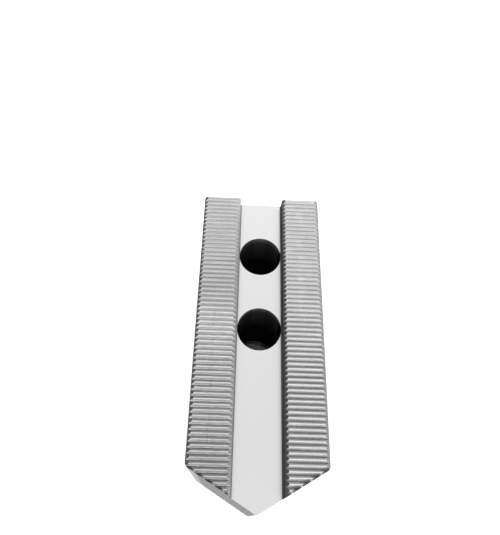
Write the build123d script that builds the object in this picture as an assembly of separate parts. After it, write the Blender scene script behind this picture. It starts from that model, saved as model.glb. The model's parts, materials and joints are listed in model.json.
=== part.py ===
from build123d import *
import math
import os

# Machinable soft jaw for a three-jaw power chuck, in millimetres.
# It stands on its clamping face, with the serrated mounting face up.
# X is the width, Y runs from the point (-Y) to the flat end (+Y).
# The origin is the middle of the bounding box's bottom.

# Block
jaw_length = 95.0
jaw_width = 38.5
jaw_height = 52.0
point_angle = 120.0
point_flat = 1.2

# Key groove between the two serrated rails
groove_width = 14.0
groove_depth = 4.7
groove_corner_radius = 0.2

# Screw holes, measured from the flat end
screw_count = 2
screw_spacing = 25.0
first_screw_from_end = 20.0
screw_hole_diameter = 13.5
head_bore_diameter = 20.0
head_seat_below_crests = 20.0

# Serrations: truncated V notches across both rails
serration_pitch = 1.5
serration_angle = 60.0
crest_width = 0.45
root_width = 0.1
first_notch_from_end = 1.75

# Bevels and edge breaks
rail_outer_bevel = 1.1
rail_inner_bevel = 1.1
rail_end_bevel = 0.5
heel_bevel = 2.5
upright_break = 0.5
base_break = 0.3
head_bore_break = 0.5

# How far a cutting profile reaches past the block
overcut = 1.0

# Places that follow from the sizes above
half_width = jaw_width / 2
half_groove = groove_width / 2
flat_end = jaw_length / 2
point_end = -jaw_length / 2
slant = 1 / math.tan(math.radians(point_angle / 2))
shoulder = point_end + (half_width - point_flat / 2) * slant
rail_tip = point_end + (half_groove - point_flat / 2) * slant
groove_floor = jaw_height - groove_depth
notch_depth = (serration_pitch - crest_width - root_width) / 2 / math.tan(math.radians(serration_angle / 2))


def corner_profile(across, up, across_sign, up_sign, size):
    """Triangle that bevels the corner at (across, up), equal legs of the given size."""
    return [
        (across - across_sign * (size + overcut), up + up_sign * overcut),
        (across + across_sign * overcut, up - up_sign * (size + overcut)),
        (across + across_sign * overcut, up + up_sign * overcut),
    ]


def groove_profile():
    """Section of the key groove before its floor corners are rounded, its mouth flared by the inner bevels."""
    wall_top = jaw_height - rail_inner_bevel
    mouth = half_groove + rail_inner_bevel + overcut
    return [
        (-half_groove, groove_floor),
        (half_groove, groove_floor),
        (half_groove, wall_top),
        (mouth, jaw_height + overcut),
        (-mouth, jaw_height + overcut),
        (-half_groove, wall_top),
    ]


def notch_profile(centre):
    """Truncated V notch, centred along the length at the given place."""
    half_root = root_width / 2
    half_mouth = (serration_pitch - crest_width) / 2
    return [
        (centre - half_root, jaw_height - notch_depth),
        (centre + half_root, jaw_height - notch_depth),
        (centre + half_mouth, jaw_height),
        (centre + half_mouth, jaw_height + overcut),
        (centre - half_mouth, jaw_height + overcut),
        (centre - half_mouth, jaw_height),
    ]


with BuildPart() as jaw:
    # Pointed block, its upright corners and the edges of the clamping face broken
    with BuildSketch():
        Polygon(
            (-half_width, flat_end),
            (-half_width, shoulder),
            (-point_flat / 2, point_end),
            (point_flat / 2, point_end),
            (half_width, shoulder),
            (half_width, flat_end),
            align=None,
        )
        corners = [v for v in vertices() if abs(v.X) > half_groove]
        chamfer(corners, length=upright_break)
    extrude(amount=jaw_height)
    chamfer(faces().sort_by(Axis.Z)[0].edges(), length=base_break)

    # Heel bevel under the flat end
    with BuildSketch(Plane.YZ):
        Polygon(*corner_profile(flat_end, 0, 1, -1, heel_bevel), align=None)
    extrude(amount=jaw_width, both=True, mode=Mode.SUBTRACT)

    # Key groove and the bevels along the rails, cut the whole length
    with BuildSketch(Plane.XZ):
        Polygon(*groove_profile(), align=None)
        fillet(vertices().group_by(Axis.Y)[0], radius=groove_corner_radius)
        for side in (-1, 1):
            Polygon(*corner_profile(side * half_width, jaw_height, side, 1, rail_outer_bevel), align=None)
    extrude(amount=jaw_length, both=True, mode=Mode.SUBTRACT)

    # Bevels across both ends of each rail
    crest_edges = edges().group_by(Axis.Z)[-1]
    rail_ends = [e for e in crest_edges if abs(e.tangent_at(0.5).X) > 0.1]
    chamfer(rail_ends, length=rail_end_bevel)

    # Counterbored screw holes, entered from the clamping face
    first_screw = flat_end - first_screw_from_end
    screw_places = [(0, first_screw - i * screw_spacing) for i in range(screw_count)]
    with Locations(*[Location((x, y, 0), (180, 0, 0)) for x, y in screw_places]):
        CounterBoreHole(
            radius=screw_hole_diameter / 2,
            counter_bore_radius=head_bore_diameter / 2,
            counter_bore_depth=jaw_height - head_seat_below_crests,
        )
    bore_mouths = edges().filter_by(GeomType.CIRCLE).group_by(Axis.Z)[0]
    chamfer(bore_mouths, length=head_bore_break)

    # Serrations, one notch per pitch from the flat end to where the rails run out
    notch_count = int((flat_end - rail_tip - first_notch_from_end) / serration_pitch) + 1
    with BuildSketch(Plane.YZ):
        for i in range(notch_count):
            Polygon(*notch_profile(flat_end - first_notch_from_end - i * serration_pitch), align=None)
    extrude(amount=jaw_width, both=True, mode=Mode.SUBTRACT)

os.makedirs("parts", exist_ok=True)
export_step(jaw.part, "parts/soft_jaw.step")
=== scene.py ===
"""Dresses the machinable soft jaw: its milled steel finish, a white studio and the camera.

Everything is in metres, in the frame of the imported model: the jaw stands on Z = 0 on its
clamping face, with the serrated rails up and the point towards -Y.
"""

import json
import math

import bpy
import numpy as np
from bpy.props import FloatProperty, FloatVectorProperty, PointerProperty
from bpy.types import Operator, Panel, PropertyGroup
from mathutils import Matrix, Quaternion, Vector


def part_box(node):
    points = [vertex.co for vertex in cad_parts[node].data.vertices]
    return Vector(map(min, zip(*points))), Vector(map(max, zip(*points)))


bl_info = {
    "name": "Machinable Soft Jaw",
    "version": (1, 0, 0),
    "blender": (4, 5, 0),
    "location": "View3D > Sidebar > Soft Jaw",
    "description": "Finishes the steel of a machinable soft jaw and sets up its studio",
    "category": "Object",
}

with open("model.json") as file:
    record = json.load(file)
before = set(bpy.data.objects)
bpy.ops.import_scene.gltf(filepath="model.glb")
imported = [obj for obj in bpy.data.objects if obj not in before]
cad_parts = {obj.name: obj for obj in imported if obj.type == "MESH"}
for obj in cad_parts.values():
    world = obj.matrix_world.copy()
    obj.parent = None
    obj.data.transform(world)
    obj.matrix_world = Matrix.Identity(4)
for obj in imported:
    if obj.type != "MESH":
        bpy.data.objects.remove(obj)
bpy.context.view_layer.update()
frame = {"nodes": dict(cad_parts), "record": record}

JAW = "soft_jaw"
SLOT = "milled_steel"
MILLIMETRE = 0.001

jaw_low, jaw_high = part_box(JAW)
mounts = {mount["name"]: mount for mount in frame["record"]["mounts"]}
bores = [mounts["screw_hole_rear"], mounts["screw_hole_front"]]
key_box = frame["record"]["physics"]["openings"][0]["box_m"]
groove_floor = mounts["key_groove"]["pos_m"][2]
groove_half = key_box[1][0]

# The point: the angle between a slanted face and the jaw's length, and the width of the tip
SLANT = math.radians(60.0)
POINT_FLAT = 1.2 * MILLIMETRE


def millimetres(*lengths):
    """The given lengths in metres."""
    return tuple(length * MILLIMETRE for length in lengths)


class JawFinish(PropertyGroup):
    """Colour of the steel, the light and shade painted on it from place to place and the sizes of its
    marks.
    """

    steel: FloatVectorProperty(
        name="Steel", description="Colour of the bare milled steel",
        subtype="COLOR", size=3, min=0, max=1, default=(0.80, 0.80, 0.80),
    )
    pitch: FloatProperty(
        name="Pitch", description="Distance between the serrations",
        unit="LENGTH", min=0.0001, default=0.0015,
    )
    first_crest: FloatProperty(
        name="First crest", description="From the flat end to the middle of the first whole crest",
        unit="LENGTH", default=0.001,
    )
    # Painted light and shade on the rails' notches, crests, bright flanks and lips
    notch_shade: FloatVectorProperty(
        name="Notch shade",
        description="Share of the light left in the notches, at the point and at the flat end",
        size=2, min=0, max=1, default=(0.42, 0.92),
    )
    crest_shade: FloatVectorProperty(
        name="Crest shade",
        description="Share of the light left on the crests, at the point and at the flat end",
        size=2, min=0, max=1.2, default=(1.1, 0.66),
    )
    flank_shade: FloatVectorProperty(
        name="Flank shade",
        description="Share of the light left on the bright flanks, at the point and at the flat end",
        size=2, min=0, max=1.25, default=(1.25, 0.8),
    )
    lip_shade: FloatVectorProperty(
        name="Lip shade",
        description="Share of the light left on the bevels across the rails' ends, point and flat end",
        size=2, min=0, max=1.2, default=(0.5, 0.6),
    )
    # Painted shade along the jaw: the steel is drawn darker towards the point and lighter at the flat end
    tone: FloatVectorProperty(
        name="Tone",
        description="Share of the light that the steel gives back at the point and at the flat end",
        size=2, min=0, max=1.2, default=(0.92, 1.01),
    )
    # Painted shade on the bevels along the rails and in the key groove's corners
    inner_bevels: FloatVectorProperty(
        name="Inner bevels",
        description="Share of the light left on the bevels along the key groove, left and right",
        size=2, min=0, max=1, default=(0.7, 0.25),
    )
    outer_bevels: FloatVectorProperty(
        name="Outer bevels",
        description="Share of the light left on the rails' outer bevels, left and right",
        size=2, min=0, max=1, default=(0.16, 0.42),
    )
    corners: FloatVectorProperty(
        name="Corners",
        description="Share of the light left in the corners of the key groove, left and right",
        size=2, min=0, max=1, default=(0.37, 0.07),
    )
    # Painted shade on the slanted faces, less at their outer corners and on the tip
    end_shade: FloatVectorProperty(
        name="End shade",
        description="Share of the light left on the slanted faces, at their outer corners and on the tip",
        size=3, min=0, max=1, default=(0.5, 0.8, 0.75),
    )
    outside_shade: FloatProperty(
        name="Outside shade",
        description="Share of the light left on the long sides, the flat end and the underside",
        subtype="FACTOR", min=0, max=1, default=0.42,
    )
    # Painted shade inside the drilled holes
    bore_shade: FloatProperty(
        name="Bore shade", description="How much darker the drilled holes are inside",
        subtype="FACTOR", min=0, max=1, default=0.91,
    )
    roughness: FloatProperty(
        name="Roughness", description="Roughness of the milled faces",
        subtype="FACTOR", min=0, max=1, default=0.3,
    )
    notch_roughness: FloatProperty(
        name="Notch roughness", description="Roughness of the serrations' flanks",
        subtype="FACTOR", min=0, max=1, default=0.55,
    )
    line_spacing: FloatProperty(
        name="Cutter line spacing", description="Distance between the fine lines that the cutter leaves",
        unit="LENGTH", min=0.00005, default=0.00025,
    )
    line_length: FloatProperty(
        name="Cutter line length", description="How far one of those lines runs",
        unit="LENGTH", min=0.001, default=0.02,
    )
    burr: FloatProperty(
        name="Burr", description="How far the edges of the serrations wander",
        unit="LENGTH", min=0, default=0.00007,
    )


class StudioSettings(PropertyGroup):
    """Floor, cards and camera."""

    floor_size: FloatProperty(
        name="Floor size", description="Side of the square floor",
        unit="LENGTH", min=0.5, default=4.0,
    )
    floor_colour: FloatVectorProperty(
        name="Floor", description="Colour of the floor",
        subtype="COLOR", size=3, min=0, max=1, default=(0.9, 0.9, 0.9),
    )
    floor_lift: FloatProperty(
        name="Floor lift",
        description="How many times brighter the floor is where the camera or the steel sees it",
        min=1, max=2, default=1.85,
    )
    sky: FloatProperty(
        name="Sky", description="Strength of the white light all round",
        min=0, default=1.0,
    )
    camera_place: FloatVectorProperty(
        name="Camera place", description="Where the camera stands",
        subtype="TRANSLATION", size=3, default=(-0.00795, -0.0496, 0.19646),
    )
    camera_target: FloatVectorProperty(
        name="Camera target", description="What the camera looks at",
        subtype="TRANSLATION", size=3, default=(-0.00347, 0.03357, 0.0473),
    )
    camera_roll: FloatProperty(
        name="Camera roll", description="Turn of the camera about its own line of sight",
        subtype="ANGLE", default=0.0866,
    )
    lens: FloatProperty(
        name="Lens", description="Focal length in millimetres",
        unit="CAMERA", min=1, default=34.217,
    )
    shift: FloatProperty(
        name="Vertical shift", description="Shift of the picture, as a share of its height",
        default=-0.0514,
    )


class NodeGraph:
    """Adds nodes to a node tree; each method gives back the socket that it made."""

    def __init__(self, tree):
        self.tree = tree

    def node(self, kind, **settings):
        made = self.tree.nodes.new(kind)
        for name, value in settings.items():
            setattr(made, name, value)
        return made

    def feed(self, socket, value):
        """Links a socket to value if that is a socket too, and otherwise sets it."""
        if isinstance(value, bpy.types.NodeSocket):
            self.tree.links.new(value, socket)
        else:
            socket.default_value = value

    def math(self, operation, a, b=0.0, c=0.0, clamp=False):
        made = self.node("ShaderNodeMath", operation=operation, use_clamp=clamp)
        for socket, value in zip(made.inputs, (a, b, c)):
            self.feed(socket, value)
        return made.outputs[0]

    def add(self, a, b):
        return self.math("ADD", a, b)

    def absolute(self, value):
        return self.math("ABSOLUTE", value)

    def opposite(self, mask):
        """1 where the mask is 0."""
        return self.math("SUBTRACT", 1.0, mask)

    def most(self, *masks):
        """The largest of the masks."""
        made = masks[0]
        for mask in masks[1:]:
            made = self.math("MAXIMUM", made, mask)
        return made

    def product(self, *values):
        made = values[0]
        for value in values[1:]:
            made = self.math("MULTIPLY", made, value)
        return made

    def where(self, mask, inside, outside=1.0):
        """One value where the mask is 1 and another where it is 0."""
        made = self.node("ShaderNodeMix")
        for number, value in ((0, mask), (2, outside), (3, inside)):
            self.feed(made.inputs[number], value)
        return made.outputs[0]

    def band(self, value, start, end, edge):
        """1 between start and end, with a soft edge of the given width outside them, else 0."""
        return self.product(self.step(value, start - edge, start), self.step(value, end + edge, end))

    def step(self, value, start, end):
        """0 before start, 1 after end and a smooth rise between them."""
        made = self.node("ShaderNodeMapRange", interpolation_type="SMOOTHSTEP")
        for socket, given in zip(made.inputs, (value, start, end, 0.0, 1.0)):
            self.feed(socket, given)
        return made.outputs[0]

    def ramp(self, value, start, end, low=0.0, high=1.0):
        """Runs evenly from low at start to high at end."""
        made = self.node("ShaderNodeMapRange")
        for socket, given in zip(made.inputs, (value, start, end, low, high)):
            self.feed(socket, given)
        return made.outputs[0]

    def span(self, value, low, high):
        """Brings a value from 0 to 1 into the range from low to high."""
        return self.ramp(value, 0.0, 1.0, low, high)

    def xyz(self, vector):
        made = self.node("ShaderNodeSeparateXYZ")
        self.feed(made.inputs[0], vector)
        return made.outputs

    def stretch(self, vector, scale):
        made = self.node("ShaderNodeVectorMath", operation="MULTIPLY")
        self.feed(made.inputs[0], vector)
        self.feed(made.inputs[1], scale)
        return made.outputs[0]

    def scale(self, vector, factor):
        made = self.node("ShaderNodeVectorMath", operation="SCALE")
        self.feed(made.inputs[0], vector)
        self.feed(made.inputs["Scale"], factor)
        return made.outputs[0]

    def noise(self, vector, scale=1.0, detail=2.0, roughness=0.5):
        made = self.node("ShaderNodeTexNoise")
        self.feed(made.inputs["Vector"], vector)
        self.feed(made.inputs["Scale"], scale)
        self.feed(made.inputs["Detail"], detail)
        self.feed(made.inputs["Roughness"], roughness)
        return made.outputs["Fac"]

    def group(self, tree, **values):
        """Places a node group; the names of the values are its inputs, with _ for a space."""
        made = self.node("ShaderNodeGroup", node_tree=tree)
        for name, value in values.items():
            self.feed(made.inputs[name.replace("_", " ")], value)
        return made.outputs


def new_group(name, inputs, outputs):
    """An empty node group with the named sockets, its graph, and what comes in and goes out."""
    tree = bpy.data.node_groups.new(name, "ShaderNodeTree")
    for label, kind in inputs.items():
        tree.interface.new_socket(label, in_out="INPUT", socket_type="NodeSocket" + kind)
    for label, kind in outputs.items():
        tree.interface.new_socket(label, in_out="OUTPUT", socket_type="NodeSocket" + kind)
    graph = NodeGraph(tree)
    return tree, graph, graph.node("NodeGroupInput").outputs, graph.node("NodeGroupOutput").inputs


def cutter_lines_group():
    """Fine parallel lines: noise drawn out along the run, so that it is narrow across it."""
    tree, graph, given, result = new_group(
        "cutter_lines",
        {"Vector": "Vector", "Lines per metre": "Vector"},
        {"Height": "Float"},
    )
    drawn = graph.stretch(given["Vector"], given["Lines per metre"])
    graph.feed(result["Height"], graph.noise(drawn, detail=2.0, roughness=0.6))
    return tree


def bore_group():
    """1 inside an upright hole and 0 outside it: its radius against the distance from its axis."""
    tree, graph, given, result = new_group(
        "bore_mask",
        {"Vector": "Vector", "Centre": "Vector", "Radius": "Float", "Top": "Float"},
        {"Mask": "Float"},
    )
    apart = graph.node("ShaderNodeVectorMath", operation="SUBTRACT")
    graph.feed(apart.inputs[0], given["Vector"])
    graph.feed(apart.inputs[1], given["Centre"])
    flat = graph.stretch(apart.outputs[0], (1.0, 1.0, 0.0))
    length = graph.node("ShaderNodeVectorMath", operation="LENGTH")
    graph.feed(length.inputs[0], flat)
    inside = graph.math("LESS_THAN", length.outputs["Value"], given["Radius"])
    below = graph.math("LESS_THAN", graph.xyz(given["Vector"])[2], given["Top"])
    graph.feed(result["Mask"], graph.math("MULTIPLY", inside, below))
    return tree


def new_material(name):
    """A material with an empty graph, and its output's surface socket."""
    material = bpy.data.materials.new(name)
    material.use_nodes = True
    material.node_tree.nodes.clear()
    graph = NodeGraph(material.node_tree)
    return material, graph, graph.node("ShaderNodeOutputMaterial").inputs["Surface"]


class JawSurface:
    """The place and the facing of a point on the steel, and masks that say which part it is on.

    The pairs below say where a mask is still 0 and where it is 1. Lengths are in metres, counted
    from what their comment names. Facings are parts of the surface normal, from -1 to 1.
    """

    MIDDLE = millimetres(-0.1, 0.1)  # the plane of symmetry
    RAIL_EDGE = millimetres(0.0, 0.1)  # the key groove's wall
    RAIL_OUTER_HALF = millimetres(5.0, 6.0)  # the key groove's wall
    MOUTH_REACH = millimetres(1.0, 0.7)  # the key groove's wall
    BESIDE_WALL = millimetres(-0.22, 0.15)  # the key groove's wall, a band from one to the other
    BESIDE_WALL_EDGE = 0.06 * MILLIMETRE
    RAIL_TOP = millimetres(2.0, 3.0)  # the key groove's floor
    NOT_UNDER_FLOOR = millimetres(-0.1, -0.05)  # the key groove's floor
    UNDER_BEVEL = millimetres(-1.1, -1.2)  # the crests
    LONG_SIDE = millimetres(-0.4, -0.2)  # the jaw's side
    FLAT_END = millimetres(-3.0, -2.8)  # the flat end
    POINT_CORNER = (0.8, 0.92)  # the plane of symmetry, as shares of half the jaw's width

    FLAT_TOP = (0.7, 0.95)
    UPRIGHT_WALL = (0.8, 0.95)
    NOT_A_WALL = (0.8, 0.6)
    TOWARDS_POINT = (-0.3, -0.5)
    TIP = (-0.93, -0.97)
    LENGTHWAYS = (0.35, 0.5)
    STEEP = (0.4, 0.2)
    NOT_UP = (0.3, 0.1)
    DOWN = (-0.3, -0.5)
    BEVEL_BAND = (0.5, 0.8, 0.1)  # a band from the first to the second, and its soft edge
    LIP_BAND = (0.65, 0.8, 0.05)

    def __init__(self, graph):
        self.graph = graph
        self.place = graph.node("ShaderNodeTexCoord").outputs["Object"]
        self.x, self.y, self.z = graph.xyz(self.place)
        normal = graph.node("ShaderNodeNewGeometry").outputs["Normal"]
        self.facing_x, self.facing_y, self.facing_z = graph.xyz(normal)
        self.aside = graph.absolute(self.x)
        self.sideways = graph.absolute(self.facing_x)
        self.levelness = graph.absolute(self.facing_z)
        self.right = graph.step(self.x, *self.MIDDLE)
        self.flat_top = graph.step(self.facing_z, *self.FLAT_TOP)
        self.find_rails()
        self.find_groove_walls()
        self.find_slanted_faces()
        self.find_outside()

    def beyond(self, value, start, pair):
        """A mask whose pair of lengths is counted from the given start."""
        return self.graph.step(value, start + pair[0], start + pair[1])

    def find_rails(self):
        """The rails, the bevels along them, the lips across their ends, what is serrated, and where
        the right rail's notches open into the key groove."""
        graph = self.graph
        beside_groove = self.beyond(self.aside, groove_half, self.RAIL_EDGE)
        self.rail = graph.product(beside_groove, self.beyond(self.z, groove_floor, self.RAIL_TOP))
        self.outer = self.beyond(self.aside, groove_half, self.RAIL_OUTER_HALF)
        self.bevel = graph.product(self.rail, graph.band(self.sideways, *self.BEVEL_BAND))
        self.serrated = graph.product(self.rail, graph.opposite(self.bevel))
        lengthways = graph.step(graph.absolute(self.facing_y), *self.LENGTHWAYS)
        self.lip = graph.product(self.rail, lengthways, graph.band(self.facing_z, *self.LIP_BAND))
        by_groove = self.beyond(self.aside, groove_half, self.MOUTH_REACH)
        self.mouth = graph.product(self.right, by_groove)

    def find_groove_walls(self):
        """The key groove's two walls, and a narrow strip of its floor beside each of them."""
        graph = self.graph
        start, end = (groove_half + place for place in self.BESIDE_WALL)
        corner = graph.product(
            self.beyond(self.z, groove_floor, self.NOT_UNDER_FLOOR),
            graph.band(self.aside, start, end, self.BESIDE_WALL_EDGE),
        )
        strip = graph.product(
            corner,
            graph.step(self.sideways, *self.NOT_A_WALL),
            self.beyond(self.z, jaw_high.z, self.UNDER_BEVEL),
        )
        upright = graph.product(corner, graph.step(self.sideways, *self.UPRIGHT_WALL))
        self.wall = graph.most(strip, upright)

    def find_slanted_faces(self):
        """The slanted faces at the point, their outer corners and the tip between them."""
        graph = self.graph
        steep = graph.step(self.levelness, *self.STEEP)
        self.end = graph.product(graph.step(self.facing_y, *self.TOWARDS_POINT), steep)
        self.tip = graph.step(self.facing_y, *self.TIP)
        start, end = (share * jaw_high.x for share in self.POINT_CORNER)
        self.point_corner = graph.step(self.aside, start, end)

    def find_outside(self):
        """The long sides, the flat end and the underside."""
        graph = self.graph
        side = self.beyond(self.aside, jaw_high.x, self.LONG_SIDE)
        back = self.beyond(self.y, jaw_high.y, self.FLAT_END)
        around = graph.product(graph.most(side, back), graph.step(self.facing_z, *self.NOT_UP))
        below = graph.step(self.facing_z, *self.DOWN)
        self.outside = graph.product(graph.most(around, below), graph.opposite(self.end))

    def behind_slant(self):
        """How far a point lies behind the slanted face on its own side, in metres."""
        graph = self.graph
        across, along = math.cos(SLANT), math.sin(SLANT)
        shoulder = jaw_low.y + (jaw_high.x - POINT_FLAT / 2) * across / along
        reach = across * jaw_high.x - along * shoulder
        behind = graph.math("MULTIPLY_ADD", self.y, along, reach)
        return graph.add(graph.product(self.aside, -across), behind)


# Places along the jaw between which a shade changes, from the first to the second
JAW_FADE = millimetres(-30.0, 38.0)
RAIL_FADE = millimetres(-16.0, 36.0)
LEFT_RAIL_FADE = millimetres(0.0, 16.0)
LEFT_TIP_FADE = millimetres(-26.0, -36.0)
LEFT_PHASE_FADE = millimetres(18.0, 34.0)
LEFT_CREST_FADE = millimetres(10.0, -2.0)
RIGHT_CREST_FADE = millimetres(-18.0, -30.0)

# Painted share of the light left on the rails, where a pair goes from the point to the flat end
LEFT_NOTCHES = (0.54, 1.1)
LEFT_RAIL = (1.2, 0.92)
LEFT_TIP = 0.88
NOTCH_MOUTH = 0.65
BEHIND_CREST = 1.25
OPEN_END = 0.35
RIM = 0.65

# Within one pitch, counted towards the point from this far before the crest's middle
PITCH_START = 0.4 * MILLIMETRE
BRIGHT_BAND = millimetres(0.47, 0.97, 0.18)
BEHIND_CREST_REACH = millimetres(0.35, 0.15)
LEFT_PHASE = millimetres(-0.14, 0.2)

# How far the painted dark ends of the notches and the painted rim beyond them reach behind the slanted
# faces
RIGHT_OPEN_END = millimetres(1.4, 0.5)
LEFT_OPEN_END = millimetres(1.0, 0.3)
RIM_REACH = millimetres(0.55, 0.35)

# Cells to the metre along X, Y and Z of the noise on the rails
RAGGED_CELLS = (700.0, 1800.0, 1800.0)
SPECKLE_CELLS = (2600.0, 1500.0, 1500.0)
UNEVEN_CELLS = (90.0, 500.0, 0.0)
PATCH_CELLS = (300.0, 420.0, 0.0)

# Darkest and lightest share of the light that two of these noises leave
SPECKLE = (0.74, 1.26)
UNEVEN = (0.88, 1.12)


def serration_shade(graph, on, finish):
    """Painted light and shade within each pitch, softer towards the flat end, with ragged edges and
    specks.
    """
    ragged = graph.noise(graph.stretch(on.place, RAGGED_CELLS), detail=3.0, roughness=0.6)
    wander = graph.span(ragged, -finish.burr, finish.burr)
    in_pitch = place_in_pitch(graph, on, finish, wander)
    fade = graph.step(on.y, *RAIL_FADE)
    dark = graph.span(fade, *finish.notch_shade)
    dark = graph.product(dark, graph.where(on.right, 1.0, graph.span(fade, *LEFT_NOTCHES)))
    crest = graph.span(fade, *finish.crest_shade)
    bright = graph.where(on.flat_top, crest, graph.span(fade, *finish.flank_shade))
    return graph.product(
        graph.where(graph.band(in_pitch, *BRIGHT_BAND), bright, dark),
        rail_specks(graph, on),
        open_end_shade(graph, on),
        behind_crest_shade(graph, on, in_pitch),
        left_rail_shade(graph, on),
        graph.where(on.mouth, NOTCH_MOUTH),
        marks_and_glints(graph, on, wander),
    )


def place_in_pitch(graph, on, finish, wander):
    """How far into its pitch a point lies, shifted by a share of a millimetre on the left rail."""
    first = jaw_high.y - finish.first_crest + PITCH_START
    past_first = graph.math("SUBTRACT", first, graph.add(on.y, wander))
    in_pitch = graph.math("MODULO", past_first, finish.pitch)
    left_phase = graph.span(graph.step(on.y, *LEFT_PHASE_FADE), *LEFT_PHASE)
    return graph.add(in_pitch, graph.where(on.right, 0.0, left_phase))


def rail_specks(graph, on):
    """Fine specks, and broader patches that differ from one serration to the next."""
    speckle = graph.noise(graph.stretch(on.place, SPECKLE_CELLS), detail=3.0, roughness=0.7)
    uneven = graph.noise(graph.stretch(on.place, UNEVEN_CELLS), detail=2.0)
    return graph.product(graph.span(speckle, *SPECKLE), graph.span(uneven, *UNEVEN))


def open_end_shade(graph, on):
    """Painted shade darkens the notches where they run out at the slanted faces. The right rail has a
    less shaded rim there.
    """
    depth = on.behind_slant()
    right_end = graph.step(depth, *RIGHT_OPEN_END)
    open_end = graph.where(on.right, right_end, graph.step(depth, *LEFT_OPEN_END))
    rim = graph.product(on.right, graph.step(depth, *RIM_REACH))
    kept = graph.most(on.flat_top, rim, graph.product(on.right, on.lip))
    dark = graph.product(open_end, graph.opposite(kept))
    return graph.product(graph.where(dark, OPEN_END), graph.where(rim, RIM))


def behind_crest_shade(graph, on, in_pitch):
    """Towards the point, the strip just behind each crest is painted lighter."""
    left = graph.step(on.y, *LEFT_CREST_FADE)
    near = graph.where(on.right, graph.step(on.y, *RIGHT_CREST_FADE), left)
    strip = graph.step(in_pitch, *BEHIND_CREST_REACH)
    return graph.where(graph.product(near, strip), BEHIND_CREST)


def left_rail_shade(graph, on):
    """Painted light and shade: the left rail is drawn brighter in its near half and darker at its very
    tip.
    """
    whole = graph.span(graph.step(on.y, *LEFT_RAIL_FADE), *LEFT_RAIL)
    tip = graph.where(graph.step(on.y, *LEFT_TIP_FADE), LEFT_TIP)
    return graph.where(on.right, 1.0, graph.product(whole, tip))


# Bands across the jaw and along it, each with its soft edge, and the share of patches that show
MARKS_ACROSS = millimetres(-13.8, -13.6, 0.3)
MARKS_ALONG = millimetres(-34.0, 4.0, 4.0)
MARKS_PATCHES = (0.47, 0.58)
MARKS_WAVE = 3.0
MARKS = 0.8
# Painted glints: highlights laid into the colour of the right rail
GLINTS_ACROSS = millimetres(12.2, 13.4, 0.6)
GLINTS_ALONG = millimetres(8.0, 42.0, 6.0)
GLINTS_PATCHES = (0.5, 0.6)
GLINTS = 1.09


def marks_and_glints(graph, on, wander):
    """A faint wavy chain of dark marks along the left rail, and a few painted glints on the right one."""
    patches = graph.noise(graph.stretch(on.place, PATCH_CELLS), detail=2.0)
    wavy = graph.add(on.x, graph.product(wander, MARKS_WAVE))
    marks = graph.product(
        graph.band(wavy, *MARKS_ACROSS),
        graph.band(on.y, *MARKS_ALONG),
        graph.step(patches, *MARKS_PATCHES),
    )
    glints = graph.product(
        graph.band(on.x, *GLINTS_ACROSS),
        graph.band(on.y, *GLINTS_ALONG),
        graph.step(patches, *GLINTS_PATCHES),
    )
    return graph.product(graph.where(marks, MARKS), graph.where(glints, GLINTS))


# Painted share of the light left on the lips across the right rail, at the point and at the flat end
RIGHT_LIP = (0.26, 0.7)


def edge_shade(graph, on, finish, along):
    """Painted shade on the lips across the rails' ends, the four bevels along the rails and the groove's
    corners.
    """
    left_in, right_in = finish.inner_bevels
    left_out, right_out = finish.outer_bevels
    left_corner, right_corner = finish.corners
    outer = graph.where(on.right, right_out, left_out)
    bevel = graph.where(on.outer, outer, graph.where(on.right, right_in, left_in))
    right_lip = graph.span(along, *RIGHT_LIP)
    lip = graph.where(on.right, right_lip, graph.span(along, *finish.lip_shade))
    return graph.product(
        graph.where(on.lip, lip),
        graph.where(on.bevel, bevel),
        graph.where(on.wall, graph.where(on.right, right_corner, left_corner)),
    )


# Milling on the plain faces: its cells to the metre, and its darkest and lightest share
MILLING_CELLS = (60.0, 60.0, 1400.0)
SLANTED_MILLING = (0.88, 1.12)
PLAIN_MILLING = (0.82, 1.12)


def plain_face_shade(graph, on, finish):
    """Painted shade on the slanted faces, less at their outer corners and on the tip, and a darker grey
    on the long sides, the flat end and the underside, all with milling marks.
    """
    slant, corner, tip = finish.end_shade
    milling = graph.noise(graph.stretch(on.place, MILLING_CELLS), detail=3.0, roughness=0.6)
    slanted = graph.where(on.tip, tip, graph.where(on.point_corner, corner, slant))
    plain = graph.product(graph.span(milling, *PLAIN_MILLING), finish.outside_shade)
    return graph.product(
        graph.where(on.end, slanted),
        graph.where(on.end, graph.span(milling, *SLANTED_MILLING)),
        graph.where(on.outside, plain),
    )


# The bores: how far their mask reaches, the heights at which they change, and the painted light and shade
# in them
BORE_REACH = 1.7  # times the screw hole's radius, so that the head bore lies inside it too
BORE_CLEARANCE = 0.05 * MILLIMETRE
MOUTH_HEIGHT = millimetres(4.6, 4.2)
BREAK_HEIGHT = millimetres(0.6, 0.4)
TOP_LIGHT_DEPTH = 3.5 * MILLIMETRE
TOP_LIGHT = 3.5
MOUTH = 1.25
BREAK = 0.4


def bore_masks(graph, on):
    """1 in the screw holes and the head bores below them, and 1 at the height of their mouths."""
    hole = bore_group()
    inside = 0.0
    for bore in bores:
        found = graph.group(
            hole, Vector=on.place, Centre=tuple(bore["pos_m"]),
            Radius=bore["dims"]["r_mm"] * MILLIMETRE * BORE_REACH,
            Top=groove_floor - BORE_CLEARANCE,
        )["Mask"]
        inside = graph.math("ADD", inside, found, clamp=True)
    return inside, graph.step(on.z, *MOUTH_HEIGHT)


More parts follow.
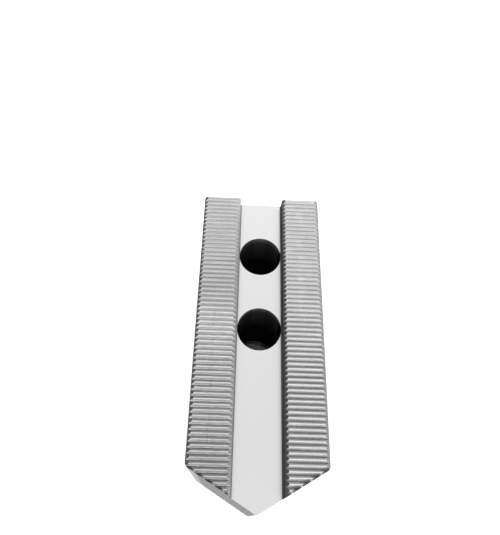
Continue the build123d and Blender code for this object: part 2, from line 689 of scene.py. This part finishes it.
def bore_shade(graph, on, at_mouth, finish):
    """Painted shade, dark inside, with painted light just under the key groove's floor and in the mouths
    below.
    """
    from_top = graph.step(on.z, groove_floor - TOP_LIGHT_DEPTH, groove_floor)
    dark = graph.product(graph.span(from_top, 1.0, TOP_LIGHT), 1 - finish.bore_shade)
    mouth = graph.where(graph.step(on.z, *BREAK_HEIGHT), BREAK, MOUTH)
    return graph.where(at_mouth, mouth, dark)


# Smudges: their cells to the metre, and the roughness that they take off or add
SMUDGE_CELLS = 60.0
SMUDGE = (-0.04, 0.04)

# Roughness that the key groove's corners add
CORNER_ROUGHNESS = 0.4


def steel_roughness(graph, on, finish):
    """Lightly smudged, rougher on the serrations and roughest in the key groove's corners."""
    smudge = graph.span(graph.noise(on.place, SMUDGE_CELLS, detail=3.0), *SMUDGE)
    rough = graph.add(finish.roughness, smudge)
    rough = graph.add(rough, graph.product(on.rail, finish.notch_roughness - finish.roughness))
    return graph.add(rough, graph.product(on.wall, CORNER_ROUGHNESS))


# Bumps: how strong and how deep they are, and from which facing on a face counts as level
BUMP_STRENGTH = 0.4
BUMP_DEPTH = 0.01 * MILLIMETRE
LEVEL_FACING = (0.6, 0.9)

# Lines on the rails against those on the other faces: ends to the metre, lines to the metre, height
RAIL_LINE_ENDS = 12
RAIL_LINE_COUNT = 0.6
RAIL_LINE_HEIGHT = 2.0


def steel_bumps(graph, on, finish):
    """Cutter lines: along the jaw on level faces, level on upright ones, short across the rails."""
    across = 1 / finish.line_spacing
    along = 1 / finish.line_length
    level_cells = (across, along, along)
    upright_cells = (along, along, across)
    rail_across = across * RAIL_LINE_COUNT
    rail_cells = (along * RAIL_LINE_ENDS, rail_across, rail_across)
    lines = cutter_lines_group()
    level, upright, short = (
        graph.group(lines, Vector=on.place, Lines_per_metre=cells)["Height"]
        for cells in (level_cells, upright_cells, rail_cells)
    )
    flat = graph.where(graph.step(on.levelness, *LEVEL_FACING), level, upright)
    short = graph.product(short, RAIL_LINE_HEIGHT)
    bump = graph.node("ShaderNodeBump")
    graph.feed(bump.inputs["Strength"], BUMP_STRENGTH)
    graph.feed(bump.inputs["Distance"], BUMP_DEPTH)
    graph.feed(bump.inputs["Height"], graph.where(on.rail, short, flat))
    return bump.outputs[0]


def milled_steel(finish):
    """Bare steel. Each part of the jaw gets its own painted light and shade, under cutter lines.
    The slanted faces, the key groove's corners and the bores' mouths are matt."""
    material, graph, surface = new_material(SLOT)
    on = JawSurface(graph)
    along = graph.ramp(on.y, *JAW_FADE)
    in_bore, at_mouth = bore_masks(graph, on)
    shade = graph.product(
        graph.span(along, *finish.tone),
        graph.where(on.serrated, serration_shade(graph, on, finish)),
        edge_shade(graph, on, finish, along),
        plain_face_shade(graph, on, finish),
        graph.where(in_bore, bore_shade(graph, on, at_mouth, finish)),
    )
    matt = graph.most(on.wall, graph.product(in_bore, at_mouth))

    shader = graph.node("ShaderNodeBsdfPrincipled")
    graph.feed(shader.inputs["Base Color"], graph.scale(tuple(finish.steel), shade))
    graph.feed(shader.inputs["Metallic"], graph.where(matt, 0.0, graph.opposite(on.end)))
    graph.feed(shader.inputs["Specular IOR Level"], 0.0)
    graph.feed(shader.inputs["Roughness"], steel_roughness(graph, on, finish))
    graph.feed(shader.inputs["Normal"], steel_bumps(graph, on, finish))
    graph.feed(surface, shader.outputs[0])
    return material


def studio_floor_finish(studio):
    """Matt white. What the camera and the steel see of it is lifted to white, and its shadow stays."""
    material, graph, surface = new_material("studio_floor")
    path = graph.node("ShaderNodeLightPath").outputs
    seen = graph.most(path["Is Camera Ray"], path["Is Glossy Ray"], path["Is Transmission Ray"])
    lift = graph.span(seen, 1.0, studio.floor_lift)
    shader = graph.node("ShaderNodeBsdfDiffuse")
    graph.feed(shader.inputs["Color"], graph.scale(tuple(studio.floor_colour), lift))
    graph.feed(surface, shader.outputs[0])
    return material


def card_finish(name, grey, soft):
    """One grey, fading to nothing at the top and the two sides of the card."""
    material, graph, surface = new_material(name)
    across, up, _ = graph.xyz(graph.node("ShaderNodeTexCoord").outputs["UV"])
    side = graph.math("SUBTRACT", 0.5, graph.absolute(graph.math("SUBTRACT", across, 0.5)))
    shown = graph.product(graph.step(side, 0.0, soft), graph.step(graph.opposite(up), 0.0, soft))
    shade = graph.node("ShaderNodeEmission")
    graph.feed(shade.inputs["Color"], (grey, grey, grey, 1.0))
    mixed = graph.node("ShaderNodeMixShader")
    graph.feed(mixed.inputs[0], shown)
    graph.feed(mixed.inputs[1], graph.node("ShaderNodeBsdfTransparent").outputs[0])
    graph.feed(mixed.inputs[2], shade.outputs[0])
    graph.feed(surface, mixed.outputs[0])
    return material


def sheet_mesh(name, points):
    """A grid of points, rows by columns by 3, made into a mesh of four-sided faces."""
    rows, columns = points.shape[:2]
    index = np.arange(rows * columns).reshape(rows, columns)
    faces = np.stack([index[:-1, :-1], index[:-1, 1:], index[1:, 1:], index[1:, :-1]], axis=-1)
    mesh = bpy.data.meshes.new(name)
    mesh.from_pydata(points.reshape(-1, 3).tolist(), [], faces.reshape(-1, 4).tolist())
    across, up = np.meshgrid(np.linspace(0.0, 1.0, columns), np.linspace(0.0, 1.0, rows))
    corners = np.stack([across, up], axis=-1).reshape(-1, 2)[faces.ravel()]
    mesh.uv_layers.new(name="sheet").data.foreach_set("uv", corners.ravel())
    mesh.update()
    made = bpy.data.objects.new(name, mesh)
    bpy.context.scene.collection.objects.link(made)
    return made


# Points along the sides of the floor and of a card
FLOOR_POINTS = 9
CARD_COLUMNS = 25
CARD_ROWS = 7


def floor_sheet(size):
    """Level square: X and Y run evenly over the size and Z is 0."""
    line = np.linspace(-size / 2, size / 2, FLOOR_POINTS)
    x, y = np.meshgrid(line, line)
    return sheet_mesh("studio_floor", np.stack([x, y, np.zeros_like(x)], axis=-1))


def curved_card(name, azimuth, spread, low, high, distance):
    """Upright card bent round the jaw: a point lies at its distance along the direction of its
    azimuth and elevation, with both running evenly over the card. Azimuth 0 is +X, 90 is +Y."""
    turn = np.radians(np.linspace(azimuth - spread / 2, azimuth + spread / 2, CARD_COLUMNS))
    tilt = np.radians(np.linspace(low, high, CARD_ROWS))
    turn, tilt = np.meshgrid(turn, tilt)
    direction = [np.cos(turn) * np.cos(tilt), np.sin(turn) * np.cos(tilt), np.sin(tilt)]
    points = distance * np.stack(direction, axis=-1)
    card = sheet_mesh(name, points + np.array([0.0, 0.0, jaw_high.z]))
    card.visible_camera = False
    card.visible_diffuse = False
    card.visible_shadow = False
    return card


CARDS = (
    # name, grey, azimuth, spread, lowest and highest elevation in degrees, distance in metres
    ("left_card", 0.03, 175.0, 150.0, -6.0, 60.0, 0.9),
    ("front_card", 0.12, 270.0, 100.0, -16.0, 20.0, 0.18),
    ("front_top_card", 3.0, 270.0, 140.0, 10.0, 58.0, 0.9),
    ("right_card", 0.5, 10.0, 100.0, -6.0, 30.0, 0.9),
    ("back_card", 1.1, 90.0, 110.0, 20.0, 62.0, 0.9),
)
CARD_SOFTNESS = 0.3


class FinishJaw(Operator):
    """Gives the jaw its milled steel."""

    bl_idname = "soft_jaw.finish_jaw"
    bl_label = "Finish Jaw"

    def execute(self, context):
        jaw = frame["nodes"][JAW]
        jaw.data.materials.clear()
        jaw.data.materials.append(milled_steel(context.scene.jaw_finish))
        return {"FINISHED"}


class SetStudio(Operator):
    """Makes the floor, the white light, the grey cards that the steel mirrors, and the camera."""

    bl_idname = "soft_jaw.set_studio"
    bl_label = "Set Studio"

    SENSOR_WIDTH = 36.0
    NEAREST_SEEN = 5.0 * MILLIMETRE

    def execute(self, context):
        studio = context.scene.studio_settings
        floor = floor_sheet(studio.floor_size)
        floor.data.materials.append(studio_floor_finish(studio))
        for name, grey, *place in CARDS:
            card = curved_card(name, *place)
            card.data.materials.append(card_finish(name, grey, CARD_SOFTNESS))
        self.light(context, studio)
        self.aim_camera(context, studio)
        return {"FINISHED"}

    def light(self, context, studio):
        world = bpy.data.worlds.new("studio_light")
        world.use_nodes = True
        background = world.node_tree.nodes["Background"]
        background.inputs["Color"].default_value = (1.0, 1.0, 1.0, 1.0)
        background.inputs["Strength"].default_value = studio.sky
        context.scene.world = world
        context.scene.view_settings.view_transform = "Standard"

    def aim_camera(self, context, studio):
        data = bpy.data.cameras.new("camera")
        data.sensor_width = self.SENSOR_WIDTH
        data.lens = studio.lens
        data.shift_y = studio.shift
        data.clip_start = self.NEAREST_SEEN
        camera = bpy.data.objects.new("camera", data)
        place = Vector(studio.camera_place)
        sight = Vector(studio.camera_target) - place
        roll = Quaternion((0.0, 0.0, 1.0), studio.camera_roll)
        camera.rotation_mode = "QUATERNION"
        camera.location = place
        camera.rotation_quaternion = sight.to_track_quat("-Z", "Y") @ roll
        context.scene.collection.objects.link(camera)
        context.scene.camera = camera


class SoftJawPanel(Panel):
    """Sidebar panel with the jaw's settings and steps."""

    bl_idname = "VIEW3D_PT_soft_jaw"
    bl_label = "Soft Jaw"
    bl_space_type = "VIEW_3D"
    bl_region_type = "UI"
    bl_category = "Soft Jaw"

    def draw(self, context):
        groups = (
            (context.scene.jaw_finish, FinishJaw),
            (context.scene.studio_settings, SetStudio),
        )
        for settings, step in groups:
            box = self.layout.box()
            for name in type(settings).__annotations__:
                box.prop(settings, name)
            box.operator(step.bl_idname)


CLASSES = (JawFinish, StudioSettings, FinishJaw, SetStudio, SoftJawPanel)


def register():
    for cls in CLASSES:
        bpy.utils.register_class(cls)
    bpy.types.Scene.jaw_finish = PointerProperty(type=JawFinish)
    bpy.types.Scene.studio_settings = PointerProperty(type=StudioSettings)


def unregister():
    del bpy.types.Scene.studio_settings
    del bpy.types.Scene.jaw_finish
    for cls in reversed(CLASSES):
        bpy.utils.unregister_class(cls)


def main():
    register()
    bpy.ops.soft_jaw.set_studio()
    bpy.ops.soft_jaw.finish_jaw()


if __name__ == "__main__":
    main()
